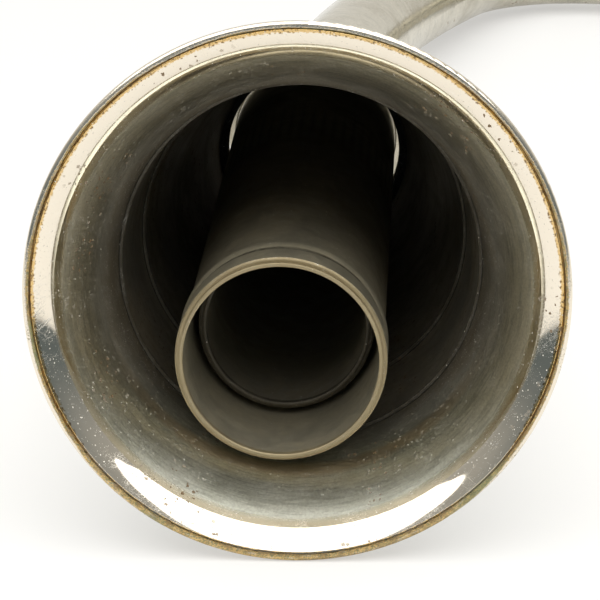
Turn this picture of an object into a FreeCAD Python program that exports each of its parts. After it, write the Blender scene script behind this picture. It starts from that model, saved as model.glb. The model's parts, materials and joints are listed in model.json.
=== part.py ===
"""Telescopic ear trumpet, closed: bell, two draws, swivelling ear bend and ear tip.

Millimetres, +Z up. The trumpet lies as it is set down: on the rim of its mouth, on the
moulding of the bell's collar and on the ferrule at the ear end. The mouth faces -Y.
"""
import FreeCAD, Part
import math
import os

import Sketcher

# Driving dimensions. Depths in the bell are measured back from the plane of its mouth,
# and depths along a tube back from that tube's own mouth.
SIZES = {
    # sheet and clearances
    "sheet": 0.6,               # rolled and spun brass sheet
    "solder_lap": 4.0,          # how far two soldered sheets lap
    "edge_crown": 0.38,         # radius that crowns a cut sheet edge
    "running_gap": 0.1,         # radial play of a fit that turns or slides
    "free_gap": 0.3,            # play between parts that must not touch
    # mouth of the bell
    "mouth_radius": 40.0,
    "rim_wall": 1.05,           # moulding round the mouth, from the band outwards
    "rim_width": 1.5,           # the same moulding, from front to back
    "rim_round": 0.6,           # its outer corners
    "rim_chamfer": 0.12,        # its inner corner, one side of the crevice
    "lip_curve": 7.1,           # section of the lip, spun outwards from the flare
    "lip_angle": 69.0,          # its slope from the bell's line where it meets the moulding
    "lip_nose": 0.35,           # rounding of its edge, the crevice's other side
    "crevice": 0.6,
    "flare_curve": 37.3,        # section of the flare
    "flare_angle": 37.7,        # slope where lip and flare run into each other
    "band_depth": 6.6,          # ring behind the lip
    "band_edge": 0.8,           # its thickness at the back
    # throat, neck and cone of the bell
    "throat_depth": 25.4,
    "throat_radius": 27.2,
    "neck_depth": 50.5,
    "neck_radius": 25.3,
    "cone_tail_radius": 17.0,
    "moulding_front": 3.6,      # width of the throat's front bead
    "moulding_back": 2.4,       # width of its back bead
    "moulding_rise": 1.05,
    "moulding_back_rise": 0.6,
    "neck_bead_width": 3.0,
    # collar of the bell and the packing in it
    "gland_depth": 136.0,       # middle of the gland
    "gland_radius": 18.7,
    "gland_bead_width": 2.4,    # bead that the collar rests on
    "gland_bead_rise": 0.77,
    "gland_cheek": 1.5,
    "gland_play": 0.4,          # room round the mouth of the draw in the cheeks
    "cap_rise": 0.4,
    "packing_radius": 17.3,
    "packing_width": 2.4,
    "packing_room": 0.45,       # room round the packing for its swing
    # middle draw
    "middle_mouth_depth": 11.0,
    "middle_mouth_radius": 15.3,
    "middle_tail_radius": 14.8,
    "middle_drop": 12.6,        # how far its mouth lies off the bell's axis
    "middle_drop_bearing": 12.0,  # degrees from straight down, towards -X
    "middle_skirt": 8.0,
    "stop_ring_start": 0.9,
    "stop_sleeve_width": 5.0,   # smooth sleeve behind the mouth of a draw
    "stop_groove_width": 2.4,
    "stop_bead_width": 2.6,
    "stop_ring_rise": 0.6,
    "stop_groove_rise": 0.2,
    "stop_chamfer": 0.25,
    "middle_collar_width": 7.2,
    "middle_collar_radius": 16.2,
    "collar_cheek": 1.8,
    "collar_bead_width": 2.4,   # beads of the middle collar and the swivel socket
    "collar_bead_rise": 0.77,
    # ear draw
    "nest_depth": 17.0,         # its mouth behind the mouth of the middle draw
    "ear_mouth_radius": 12.9,
    "ear_tail_radius": 12.6,
    "ear_skirt": 5.0,
    # swivel between ear draw and ear bend
    "swivel_room": 2.2,
    "swivel_cheek": 1.4,
    "swivel_flange": 1.7,
    "swivel_radius": 11.2,
    "swivel_socket_radius": 14.2,
    "swivel_socket_lead": 4.4,
    "swivel_bead_foot": 12.1,
    "swivel_bead_rise": 1.4,
    # ear bend
    "bend_start_radius": 10.5,
    "bend_end_radius": 7.8,
    "sweep_radius": 290.0,
    "sweep_angle": 25.0,
    "hook_radius": 30.0,
    "hook_angle": 76.0,
    "bend_tail": 18.0,
    # ferrule and ear tip
    "ferrule_lap": 5.0,
    "ferrule_face": 2.6,
    "ferrule_radius": 8.7,
    "ferrule_bead": 1.4,        # width of its bead
    "ferrule_bead_rise": 0.45,
    "ferrule_chamfer": 0.7,
    "spigot_radius": 5.4,
    "spigot_length": 7.0,
    "spigot_bore": 4.4,
    "tip_length": 23.0,
    "tip_base_radius": 8.9,
    "tip_base_width": 2.2,
    "tip_waist_curve": 20.7,
    "tip_neck_radius": 5.8,
    "tip_neck_depth": 12.0,     # neck behind the base
    "tip_neck_curve": 6.3,
    "tip_bulb_radius": 7.0,
    "tip_bulb_back": 4.9,       # widest place of the bulb, before the tip's end
    "tip_end_curve": 5.1,
    "tip_lip": 1.2,             # flat ring round the bore
    "tip_bore_radius": 3.0,
}


class Size:
    """A length that knows both its value and how it is worked out from the sheet."""

    def __init__(self, value, text):
        self.value = value
        self.text = text

    @staticmethod
    def of(other):
        if isinstance(other, Size):
            return other
        return Size(float(other), repr(float(other)))

    def __add__(self, other):
        other = Size.of(other)
        return Size(self.value + other.value, f"({self.text} + {other.text})")

    def __sub__(self, other):
        other = Size.of(other)
        return Size(self.value - other.value, f"({self.text} - {other.text})")

    def __mul__(self, other):
        other = Size.of(other)
        return Size(self.value * other.value, f"({self.text} * {other.text})")

    def __truediv__(self, other):
        other = Size.of(other)
        return Size(self.value / other.value, f"({self.text} / {other.text})")

    __radd__ = __add__
    __rmul__ = __mul__

    def __rsub__(self, other):
        return Size.of(other) - self

    def __neg__(self):
        return Size(0.0, "0") - self


class Bulge:
    """Marks the edge of a profile that is an arc; turn is +1 counter-clockwise, -1 clockwise."""

    def __init__(self, radius, turn):
        self.radius = Size.of(radius)
        self.turn = turn


doc = FreeCAD.newDocument("EarTrumpet")
sheet = doc.addObject("Spreadsheet::Sheet", "Sizes")
for row, (name, value) in enumerate(SIZES.items(), start=1):
    sheet.set(f"A{row}", name)
    sheet.set(f"B{row}", str(value))
    sheet.setAlias(f"B{row}", name)
doc.recompute()


def size(name):
    return Size(float(sheet.get(name)), f"Sizes.{name}")


def arc_between(start, end, bulge):
    """The short arc from start to end, and whether it was laid end to start."""
    chord = end - start
    half = chord.Length / 2
    left = FreeCAD.Vector(-chord.y, chord.x, 0).normalize()
    rise = math.sqrt(max(bulge.radius.value**2 - half**2, 0.0))
    centre = (start + end) * 0.5 + left * rise * bulge.turn
    first, last = (start, end) if bulge.turn > 0 else (end, start)
    circle = Part.Circle(centre, FreeCAD.Vector(0, 0, 1), bulge.radius.value)
    angles = [math.atan2(p.y - centre.y, p.x - centre.x) for p in (first, last)]
    return Part.ArcOfCircle(circle, angles[0], angles[1]), bulge.turn < 0


def turned(label, profile):
    """A ring turned about its own Z. The profile lists (radius, depth) corners, with a
    Bulge between two corners where the edge joining them is an arc."""
    corners = [item for item in profile if not isinstance(item, Bulge)]
    bulges = {}
    for index, item in enumerate(profile):
        if isinstance(item, Bulge):
            before = [p for p in profile[:index] if not isinstance(p, Bulge)]
            bulges[len(before) - 1] = item
    body = doc.addObject("PartDesign::Body", label)
    body.Label = label
    sketch = body.newObject("Sketcher::SketchObject", f"{label}_profile")
    plane = [f for f in body.Origin.OriginFeatures if f.Role == "XZ_Plane"][0]
    sketch.AttachmentSupport = (plane, [""])
    sketch.MapMode = "FlatFace"
    points = [FreeCAD.Vector(Size.of(r).value, Size.of(d).value, 0) for r, d in corners]
    reversed_edges = set()
    for index, start in enumerate(points):
        end = points[(index + 1) % len(points)]
        if index in bulges:
            edge, swapped = arc_between(start, end, bulges[index])
            if swapped:
                reversed_edges.add(index)
        else:
            edge = Part.LineSegment(start, end)
        sketch.addGeometry(edge, False)
    START, END = 1, 2
    for index in range(len(points)):
        after = (index + 1) % len(points)
        here_end = START if index in reversed_edges else END
        next_start = END if after in reversed_edges else START
        sketch.addConstraint(Sketcher.Constraint("Coincident", index, here_end, after, next_start))
    for index, (radius, depth) in enumerate(corners):
        corner = END if index in reversed_edges else START
        for kind, length in (("DistanceX", Size.of(radius)), ("DistanceY", Size.of(depth))):
            datum = Sketcher.Constraint(kind, -1, 1, index, corner, length.value)
            number = sketch.addConstraint(datum)
            sketch.setExpression(f"Constraints[{number}]", length.text)
        if index in bulges:
            radius = bulges[index].radius
            number = sketch.addConstraint(Sketcher.Constraint("Radius", index, radius.value))
            sketch.setExpression(f"Constraints[{number}]", radius.text)
    turning = body.newObject("PartDesign::Revolution", f"{label}_turning")
    turning.Profile = sketch
    turning.ReferenceAxis = (sketch, ["V_Axis"])
    turning.Angle = 360
    return body


def tangent_radius(run, rise):
    """Radius of the arc that leaves an axis-parallel line and climbs rise over run."""
    return (run * run + rise * rise) / (2 * rise)


def bead_radius(width, rise):
    """Radius of the arc of a bead that stands up by rise in the middle of its width."""
    return tangent_radius(width / 2, rise)


# Sizes that several pieces share
SHEET = size("sheet")
LAP = size("solder_lap")
CROWN = size("edge_crown")
EDGE = CROWN / 2            # depth of a crowned edge behind the sheet's full width
RUNNING = size("running_gap")
FREE = size("free_gap")
BAND_OUT = size("mouth_radius") - size("rim_wall")
FLARE_END = size("throat_depth") + LAP
FLARE_TAIL = size("throat_radius") + SHEET
NECK_TAIL = size("neck_radius") + SHEET
NECK_END = size("neck_depth") + LAP
GLAND = size("gland_depth")


def on_section(centre, radius, slope):
    """Corner where an arc of a bell's section has a slope from the bell's line."""
    return centre[0] - radius * math.cos(slope), centre[1] - radius * math.sin(slope)


# The lip's arc runs into the flare's, and that ends in line with the throat.
LIP_SLOPE = math.radians(size("lip_angle").value)
JOINED_SLOPE = math.radians(size("flare_angle").value)
LIP_BACK = size("lip_curve") - SHEET
FLARE_BACK = size("flare_curve") - SHEET
FLARE_CENTRE = (FLARE_TAIL + size("flare_curve"), size("throat_depth"))
LIP_CENTRE = on_section(FLARE_CENTRE, size("flare_curve") - size("lip_curve"), JOINED_SLOPE)
EDGE_SLOPE = math.acos((LIP_CENTRE[0] - BAND_OUT).value / LIP_BACK.value)
BAND_SLOPE = math.asin((FLARE_CENTRE[1] - size("band_depth")).value / FLARE_BACK.value)

# The draw leans by the angle that its dropped mouth makes about the middle of the gland.
MIDDLE_REACH = GLAND - size("middle_mouth_depth")
LEAN = math.atan2(size("middle_drop").value, MIDDLE_REACH.value)
MIDDLE_PIVOT = MIDDLE_REACH.value / math.cos(LEAN)

# The packing leans with the draw, so its groove is wider than the ring by that swing.
SWING = math.sin(LEAN) * size("packing_radius")
GROOVE_HALF = SWING + size("packing_width") / 2 + FREE
CHEEK = size("gland_cheek")
GROOVE_FLOOR = size("packing_radius") + size("packing_room")
GLAND_BORE = size("middle_mouth_radius") + size("gland_play")
CONE_END = GLAND - GROOVE_HALF - CHEEK
CAP_SEAT = GLAND + GROOVE_HALF + CHEEK / 2
CAP_FACE = CAP_SEAT + CHEEK


def rim_moulding():
    """Turned moulding round the mouth. Its front is flat, and a crevice parts it from the lip."""
    outside = size("mouth_radius")
    corner = size("rim_round")
    width = size("rim_width")
    return turned("rim_moulding", [
        (BAND_OUT, size("crevice")),
        (BAND_OUT + size("rim_chamfer"), 0),
        (outside - corner, 0),
        Bulge(corner, 1),
        (outside, corner),
        (outside, width - corner),
        Bulge(corner, 1),
        (outside - corner, width),
        (BAND_OUT, width),
    ])


def mouth_band():
    """Ring soldered behind the lip, which stiffens it and carries the moulding."""
    tail = on_section(FLARE_CENTRE, FLARE_BACK, BAND_SLOPE)
    return turned("mouth_band", [
        on_section(LIP_CENTRE, LIP_BACK, EDGE_SLOPE),
        (BAND_OUT, size("rim_width")),
        (tail[0] + size("band_edge"), size("band_depth")),
        tail,
        Bulge(FLARE_BACK, 1),
        on_section(FLARE_CENTRE, FLARE_BACK, JOINED_SLOPE),
        Bulge(LIP_BACK, 1),
    ])


def bell_flare():
    """Spun flare of the bell, turned out at its mouth into the rounded lip."""
    return turned("bell_flare", [
        on_section(LIP_CENTRE, size("lip_curve"), LIP_SLOPE),
        Bulge(size("lip_nose"), 1),
        (BAND_OUT, size("crevice")),
        on_section(LIP_CENTRE, LIP_BACK, EDGE_SLOPE),
        Bulge(LIP_BACK, -1),
        on_section(FLARE_CENTRE, FLARE_BACK, JOINED_SLOPE),
        Bulge(FLARE_BACK, -1),
        (FLARE_TAIL + SHEET, size("throat_depth")),
        (FLARE_TAIL + SHEET, FLARE_END),
        (FLARE_TAIL, FLARE_END),
        (FLARE_TAIL, size("throat_depth")),
        Bulge(size("flare_curve"), 1),
        on_section(FLARE_CENTRE, size("flare_curve"), JOINED_SLOPE),
        Bulge(size("lip_curve"), 1),
    ])


def throat_moulding():
    """Two beads turned in one ring, covering the soldered joint of flare and neck."""
    front = FLARE_END - size("moulding_front")
    back = FLARE_END + size("moulding_back")
    foot = FLARE_TAIL + SHEET * 2
    return turned("throat_moulding", [
        (FLARE_TAIL + SHEET, front),
        (foot, front),
        Bulge(bead_radius(size("moulding_front") - SHEET / 2, size("moulding_rise")), 1),
        (foot, FLARE_END - SHEET / 2),
        (foot, FLARE_END),
        Bulge(bead_radius(size("moulding_back"), size("moulding_back_rise")), 1),
        (foot, back),
        (FLARE_TAIL, back),
        (FLARE_TAIL, FLARE_END),
        (FLARE_TAIL + SHEET, FLARE_END),
    ])


def neck_sleeve():
    throat = size("throat_radius")
    return turned("neck_sleeve", [
        (throat, size("throat_depth") + EDGE),
        Bulge(CROWN, 1),
        (FLARE_TAIL, size("throat_depth") + EDGE),
        (FLARE_TAIL, FLARE_END),
        (NECK_TAIL + SHEET, size("neck_depth")),
        (NECK_TAIL + SHEET, NECK_END),
        (NECK_TAIL, NECK_END),
        (NECK_TAIL, size("neck_depth")),
        (throat, FLARE_END),
    ])


def neck_moulding():
    """A narrow bead round the end of the neck, where the cone is let into it."""
    width = size("neck_bead_width")
    foot = NECK_TAIL + SHEET
    return turned("neck_moulding", [
        (foot, NECK_END - width),
        (foot + SHEET, NECK_END - width),
        Bulge(bead_radius(width, size("moulding_rise")), 1),
        (foot + SHEET, NECK_END),
        (foot, NECK_END),
    ])


def bell_cone():
    tail = size("cone_tail_radius")
    return turned("bell_cone", [
        (size("neck_radius"), size("neck_depth") + EDGE),
        Bulge(CROWN, 1),
        (NECK_TAIL, size("neck_depth") + EDGE),
        (NECK_TAIL, NECK_END),
        (tail + SHEET, CONE_END - LAP),
        (tail + SHEET, CONE_END),
        (tail, CONE_END),
        (tail, CONE_END - LAP),
        (size("neck_radius"), NECK_END),
    ])


def bell_collar():
    """Turned collar: socket on the cone, cheek, groove for the packing, resting bead."""
    socket = size("cone_tail_radius") + SHEET
    outside = size("gland_radius")
    bead = size("gland_bead_width") / 2
    return turned("bell_collar", [
        (socket, CONE_END - LAP),
        (socket + SHEET, CONE_END - LAP),
        (outside, CONE_END),
        (outside, GLAND - bead),
        Bulge(tangent_radius(bead, size("gland_bead_rise")), 1),
        (outside, GLAND + bead),
        (outside, CAP_SEAT),
        (GROOVE_FLOOR, CAP_SEAT),
        (GROOVE_FLOOR, GLAND - GROOVE_HALF),
        (GLAND_BORE, GLAND - GROOVE_HALF),
        (GLAND_BORE, CONE_END),
        (socket, CONE_END),
    ])


def collar_cap():
    """Ring screwed into the back of the collar, which keeps the packing in its groove."""
    outside = size("gland_radius") - SHEET
    return turned("collar_cap", [
        (GLAND_BORE, GLAND + GROOVE_HALF),
        (GROOVE_FLOOR, GLAND + GROOVE_HALF),
        (GROOVE_FLOOR, CAP_SEAT),
        (outside, CAP_SEAT),
        Bulge(bead_radius(CHEEK, size("cap_rise")), 1),
        (outside, CAP_FACE),
        (GLAND_BORE, CAP_FACE),
    ])


def collar_packing():
    """Leather ring that hugs the draw; its own depth is measured from its middle."""
    half = size("packing_width") / 2
    bore = size("middle_mouth_radius") + FREE
    outside = size("packing_radius")
    return turned("collar_packing", [
        (bore, -half),
        (outside - half / 2, -half),
        (outside, -half / 2),
        (outside, half / 2),
        (outside - half / 2, half),
        (bore, half),
    ])


# Middle draw, depths from its own mouth
PIVOT = Size(MIDDLE_PIVOT, repr(MIDDLE_PIVOT))
MIDDLE_MOUTH = size("middle_mouth_radius")
MIDDLE_TAIL = size("middle_tail_radius")
COLLAR_SWING = math.sin(LEAN) * size("middle_collar_radius")
MIDDLE_COLLAR = PIVOT + (CAP_FACE - GLAND) + COLLAR_SWING + FREE * 2
MIDDLE_COLLAR_END = MIDDLE_COLLAR + size("middle_collar_width")
MIDDLE_END = MIDDLE_COLLAR_END - size("collar_cheek")
MIDDLE_SKIRT = MIDDLE_END - size("middle_skirt")
MIDDLE_TAPER = (MIDDLE_MOUTH - MIDDLE_TAIL) / (MIDDLE_SKIRT - EDGE)


def middle_outside(depth):
    return MIDDLE_MOUTH - MIDDLE_TAPER * (depth - EDGE)


def middle_tube():
    return turned("middle_tube", [
        (MIDDLE_MOUTH - SHEET, EDGE),
        Bulge(CROWN, 1),
        (MIDDLE_MOUTH, EDGE),
        (MIDDLE_TAIL, MIDDLE_SKIRT),
        (MIDDLE_TAIL, MIDDLE_END),
        (MIDDLE_TAIL - SHEET, MIDDLE_END),
        (MIDDLE_TAIL - SHEET, MIDDLE_SKIRT),
    ])


def stop_ring_end():
    return (size("stop_ring_start") + size("stop_sleeve_width") + size("stop_groove_width")
            + size("stop_bead_width"))


def stop_ring(label, outside):
    """Sleeve and bead soldered round the mouth of a draw, which stop it in the collar."""
    front = size("stop_ring_start")
    sleeve_end = front + size("stop_sleeve_width")
    back = stop_ring_end()
    foot = outside(front) + size("stop_groove_rise")
    crest = outside(front) + size("stop_ring_rise")
    chamfer = size("stop_chamfer")
    return turned(label, [
        (outside(front), front),
        (crest - chamfer, front),
        (crest, front + chamfer),
        (crest, sleeve_end - chamfer),
        (foot, sleeve_end),
        (foot, back - size("stop_bead_width")),
        Bulge(bead_radius(size("stop_bead_width"), crest - foot), 1),
        (foot, back),
        (outside(back), back),
    ])


LINING_BORE = size("ear_mouth_radius") + RUNNING


def middle_collar():
    """Turned collar on the end of the middle draw, with a bead and a cheek."""
    outside = size("middle_collar_radius") - SHEET
    middle = (MIDDLE_COLLAR + MIDDLE_COLLAR_END) / 2
    bead = size("collar_bead_width") / 2
    return turned("middle_collar", [
        (MIDDLE_TAIL, MIDDLE_COLLAR),
        (outside - SHEET, MIDDLE_COLLAR),
        (outside, MIDDLE_COLLAR + SHEET),
        (outside, middle - bead),
        Bulge(tangent_radius(bead, size("collar_bead_rise")), 1),
        (outside, middle + bead),
        (outside, MIDDLE_COLLAR_END - SHEET),
        (outside - SHEET, MIDDLE_COLLAR_END),
        (LINING_BORE + FREE, MIDDLE_COLLAR_END),
        (LINING_BORE + FREE, MIDDLE_END),
        (MIDDLE_TAIL, MIDDLE_END),
    ])


def middle_lining():
    """Cloth sleeve glued in the end of the middle draw, in which the ear draw slides."""
    outside = MIDDLE_TAIL - SHEET
    return turned("middle_lining", [
        (LINING_BORE, MIDDLE_SKIRT),
        (outside, MIDDLE_SKIRT),
        (outside, MIDDLE_END),
        (LINING_BORE, MIDDLE_END),
    ])


# Ear draw, depths from its own mouth
EAR_MOUTH = size("ear_mouth_radius")
EAR_TAIL = size("ear_tail_radius")
SOCKET_FACE = MIDDLE_COLLAR_END - size("nest_depth") + FREE * 2
EAR_END = SOCKET_FACE + size("ear_skirt")
EAR_TAPER = (EAR_MOUTH - EAR_TAIL) / (SOCKET_FACE - EDGE)
SWIVEL_ROOM_END = EAR_END + size("swivel_room")
SOCKET_END = SWIVEL_ROOM_END + size("swivel_cheek")


def ear_outside(depth):
    return EAR_MOUTH - EAR_TAPER * (depth - EDGE)


def ear_draw_tube():
    return turned("ear_draw_tube", [
        (EAR_MOUTH - SHEET, EDGE),
        Bulge(CROWN, 1),
        (EAR_MOUTH, EDGE),
        (EAR_TAIL, SOCKET_FACE),
        (EAR_TAIL, EAR_END),
        (EAR_TAIL - SHEET, EAR_END),
        (EAR_TAIL - SHEET, SOCKET_FACE),
    ])


def swivel_socket():
    """Ferrule on the ear draw; its cheek keeps the flange of the swivel sleeve."""
    outside = size("swivel_socket_radius") - SHEET
    middle = (SOCKET_FACE + SOCKET_END) / 2
    bead = size("collar_bead_width") / 2
    return turned("swivel_socket", [
        (EAR_TAIL, SOCKET_FACE),
        (outside - SHEET, SOCKET_FACE),
        (outside, SOCKET_FACE + SHEET),
        (outside, middle - bead),
        Bulge(tangent_radius(bead, size("collar_bead_rise")), 1),
        (outside, middle + bead),
        (outside, SOCKET_END - SHEET),
        (outside - SHEET, SOCKET_END),
        (size("swivel_radius") + RUNNING, SOCKET_END),
        (size("swivel_radius") + RUNNING, SWIVEL_ROOM_END),
        (EAR_TAIL, SWIVEL_ROOM_END),
    ])


# Ear bend, depths from the start of its tube, which stands in the swivel sleeve
BEND_DATUM = SOCKET_END + FREE
BEND_OUT = size("bend_start_radius")
SLEEVE_FLANGE = EAR_END + (size("swivel_room") - size("swivel_flange")) / 2 - BEND_DATUM


def swivel_sleeve():
    """Sleeve that turns in the socket and carries the ear bend; depths from its datum."""
    lead = size("swivel_socket_lead")
    bead = size("swivel_bead_foot")
    return turned("swivel_sleeve", [
        (BEND_OUT - SHEET, SLEEVE_FLANGE),
        (EAR_TAIL - FREE, SLEEVE_FLANGE),
        (EAR_TAIL - FREE, SLEEVE_FLANGE + size("swivel_flange")),
        (size("swivel_radius"), SLEEVE_FLANGE + size("swivel_flange")),
        (size("swivel_radius"), 0),
        (bead, 0),
        Bulge(bead_radius(lead, size("swivel_bead_rise")), 1),
        (bead, lead),
        (BEND_OUT, lead),
        (BEND_OUT, 0),
        (BEND_OUT - SHEET, 0),
    ])


def on_arc(start, heading, radius, angle):
    """Where an arc that leaves start on a heading has got to after it has turned by an angle."""
    bearing = heading + angle
    side = radius * (math.cos(heading) - math.cos(bearing))
    ahead = radius * (math.sin(bearing) - math.sin(heading))
    return start + FreeCAD.Vector(side, 0, ahead)


def bend_route():
    """Centre line of the bend in its own XZ plane, with its end and its last heading."""
    here = FreeCAD.Vector(0, 0, 0)
    heading = 0.0
    after = here + FreeCAD.Vector(0, 0, size("swivel_socket_lead").value)
    edges = [Part.LineSegment(here, after).toShape()]
    for name in ("sweep", "hook"):
        here = after
        radius = size(f"{name}_radius").value
        turn = math.radians(size(f"{name}_angle").value)
        after = on_arc(here, heading, radius, turn)
        edges.append(Part.Arc(here, on_arc(here, heading, radius, turn / 2), after).toShape())
        heading += turn
    here = after
    after = here + FreeCAD.Vector(math.sin(heading), 0, math.cos(heading)) * size("bend_tail").value
    edges.append(Part.LineSegment(here, after).toShape())
    return Part.Wire(edges), after, heading


def tapered_pipe(route, end, heading, start_radius, end_radius):
    """Solid swept along the route between two circles, tapering all the way."""
    ahead = FreeCAD.Vector(math.sin(heading), 0, math.cos(heading))
    start = FreeCAD.Vector(0, 0, 0)
    up = FreeCAD.Vector(0, 0, 1)
    sweep = Part.BRepOffsetAPI.MakePipeShell(route)
    for centre, facing, radius in ((start, up, start_radius), (end, ahead, end_radius)):
        sweep.add(Part.Wire(Part.Circle(centre, facing, radius).toShape()))
    sweep.build()
    sweep.makeSolid()
    return sweep.shape()


def ear_bend():
    """Drawn and bent tube: a long easy sweep, then the hook that brings the tip to the ear."""
    route, end, heading = bend_route()
    wall = SHEET.value
    start_radius = BEND_OUT.value
    end_radius = size("bend_end_radius").value
    outside = tapered_pipe(route, end, heading, start_radius, end_radius)
    inside = tapered_pipe(route, end, heading, start_radius - wall, end_radius - wall)
    feature = doc.addObject("Part::Feature", "ear_bend")
    feature.Label = "ear_bend"
    feature.Shape = outside.cut(inside)
    return feature


def bend_length():
    turns = (size("sweep_radius").value * math.radians(size("sweep_angle").value)
             + size("hook_radius").value * math.radians(size("hook_angle").value))
    return size("swivel_socket_lead").value + turns + size("bend_tail").value


# Ferrule and ear tip, depths from the end of the bend's tube
BEND_TAPER = (BEND_OUT - size("bend_end_radius")) / bend_length()
FERRULE_LAP = size("ferrule_lap")
FACE = size("ferrule_face")


def tip_ferrule():
    """Turned ferrule soldered on the bend, with the plain spigot that the tip pushes on."""
    outside = size("ferrule_radius")
    bead = size("ferrule_bead") / 2
    chamfer = size("ferrule_chamfer")
    seat = size("bend_end_radius")
    root = seat + BEND_TAPER * FERRULE_LAP
    return turned("tip_ferrule", [
        (root, -FERRULE_LAP),
        (outside - chamfer, -FERRULE_LAP),
        (outside, -FERRULE_LAP + chamfer),
        (outside, -bead),
        Bulge(tangent_radius(bead, size("ferrule_bead_rise")), 1),
        (outside, bead),
        (outside, FACE - chamfer / 2),
        (outside - chamfer / 2, FACE),
        (size("spigot_radius"), FACE),
        (size("spigot_radius"), FACE + size("spigot_length") - chamfer),
        (size("spigot_radius") - chamfer / 2, FACE + size("spigot_length")),
        (size("spigot_bore"), FACE + size("spigot_length")),
        (size("spigot_bore"), SHEET),
        (seat - SHEET, 0),
        (seat, 0),
    ])


def ear_tip():
    """Turned bone tip: base, waisted neck and rounded bulb, bored through."""
    base = FACE + FREE
    base_end = base + size("tip_base_width")
    end = base + size("tip_length")
    bore = size("tip_bore_radius")
    socket = size("spigot_radius") + RUNNING
    socket_end = FACE + size("spigot_length") + FREE * 2
    neck = base_end + size("tip_neck_depth")
    bulb = size("tip_bulb_radius")
    lip = bore + size("tip_lip")
    waist = size("tip_base_radius") - size("tip_base_width") / 2
    return turned("ear_tip", [
        (socket, base),
        (size("tip_base_radius") - SHEET / 2, base),
        (size("tip_base_radius"), base + SHEET / 2),
        (size("tip_base_radius"), base_end),
        (waist, base_end + SHEET),
        Bulge(size("tip_waist_curve"), -1),
        (size("tip_neck_radius"), neck),
        Bulge(size("tip_neck_curve"), 1),
        (bulb, end - size("tip_bulb_back")),
        Bulge(size("tip_end_curve"), 1),
        (lip, end),
        (bore, end),
        (bore, socket_end),
        (socket, socket_end),
    ])


# Frames of the bodies
def bell_slope():
    """Angle at which rim and collar bead both touch the ground."""
    rim_curve = size("rim_round").value
    rim_centre = size("mouth_radius").value - rim_curve
    rim_back = size("rim_width").value - rim_curve
    bead_rise = size("gland_bead_rise")
    bead_curve = bead_radius(size("gland_bead_width"), bead_rise).value
    bead_centre = (size("gland_radius") + bead_rise).value - bead_curve
    rise = rim_centre - bead_centre
    run = GLAND.value - rim_back
    spare = bead_curve - rim_curve
    slope = math.acos(spare / math.hypot(rise, run)) - math.atan2(run, rise)
    height = rim_centre * math.cos(slope) + rim_curve + rim_back * math.sin(slope)
    return slope, height


def moved(x, y, z):
    return FreeCAD.Placement(FreeCAD.Vector(x, y, z), FreeCAD.Rotation())


def turned_by(axis, angle):
    return FreeCAD.Placement(FreeCAD.Vector(), FreeCAD.Rotation(axis, math.degrees(angle)))


X_AXIS = FreeCAD.Vector(1, 0, 0)
Y_AXIS = FreeCAD.Vector(0, 1, 0)
Z_AXIS = FreeCAD.Vector(0, 0, 1)
slope, mouth_height = bell_slope()
bearing = math.radians(size("middle_drop_bearing").value)
drop_side = FreeCAD.Vector(-math.sin(bearing), math.cos(bearing), 0)
lean_axis = FreeCAD.Vector(drop_side.y, -drop_side.x, 0)

bell_frame = moved(0, 0, mouth_height).multiply(turned_by(X_AXIS, -math.pi / 2 - slope))
gland_frame = bell_frame.multiply(moved(0, 0, GLAND.value)).multiply(turned_by(lean_axis, LEAN))
middle_frame = gland_frame.multiply(moved(0, 0, -MIDDLE_PIVOT))
ear_frame = middle_frame.multiply(moved(0, 0, size("nest_depth").value))
swivel_frame = ear_frame.multiply(moved(0, 0, BEND_DATUM.value))
route, route_end, route_heading = bend_route()
bend_exit = FreeCAD.Placement(route_end, turned_by(Y_AXIS, route_heading).Rotation)


ROLL_REACH = math.radians(30)
ROLL_HALVINGS = 50


def ferrule_clearance(roll):
    """Height of the ferrule's bead above the ground with the bend rolled about the draw."""
    exit_frame = swivel_frame.multiply(turned_by(Z_AXIS, roll)).multiply(bend_exit)
    along = exit_frame.Rotation.multVec(Z_AXIS)
    rise = size("ferrule_bead_rise")
    curve = bead_radius(size("ferrule_bead"), rise).value
    ring = (size("ferrule_radius") + rise).value - curve
    return exit_frame.Base.z - ring * math.sqrt(1 - along.z**2) - curve


def resting_roll():
    """Roll of the bend that sets its ferrule down on the ground."""
    low = -ROLL_REACH
    high = ROLL_REACH
    for _ in range(ROLL_HALVINGS):
        middle = (low + high) / 2
        if ferrule_clearance(middle) > 0:
            low = middle
        else:
            high = middle
    return (low + high) / 2


bend_roll = resting_roll()
bend_frame = swivel_frame.multiply(turned_by(Z_AXIS, bend_roll))
tip_frame = bend_frame.multiply(bend_exit)

PIECES = [
    (rim_moulding(), bell_frame),
    (mouth_band(), bell_frame),
    (bell_flare(), bell_frame),
    (throat_moulding(), bell_frame),
    (neck_sleeve(), bell_frame),
    (neck_moulding(), bell_frame),
    (bell_cone(), bell_frame),
    (bell_collar(), bell_frame),
    (collar_cap(), bell_frame),
    (collar_packing(), gland_frame),
    (middle_tube(), middle_frame),
    (stop_ring("middle_stop_ring", middle_outside), middle_frame),
    (middle_collar(), middle_frame),
    (middle_lining(), middle_frame),
    (ear_draw_tube(), ear_frame),
    (stop_ring("ear_stop_ring", ear_outside), ear_frame),
    (swivel_socket(), ear_frame),
    (swivel_sleeve(), bend_frame),
    (ear_bend(), bend_frame),
    (tip_ferrule(), tip_frame),
    (ear_tip(), tip_frame),
]
for piece, frame in PIECES:
    piece.Placement = frame
doc.recompute()


def centred():
    """Shift that puts the origin under the middle of the whole trumpet."""
    boxes = [piece.Shape.optimalBoundingBox(False, False) for piece, _ in PIECES]
    low = [min(getattr(box, name) for box in boxes) for name in ("XMin", "YMin", "ZMin")]
    high = [max(getattr(box, name) for box in boxes) for name in ("XMax", "YMax")]
    return moved(-(low[0] + high[0]) / 2, -(low[1] + high[1]) / 2, -low[2])


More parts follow.
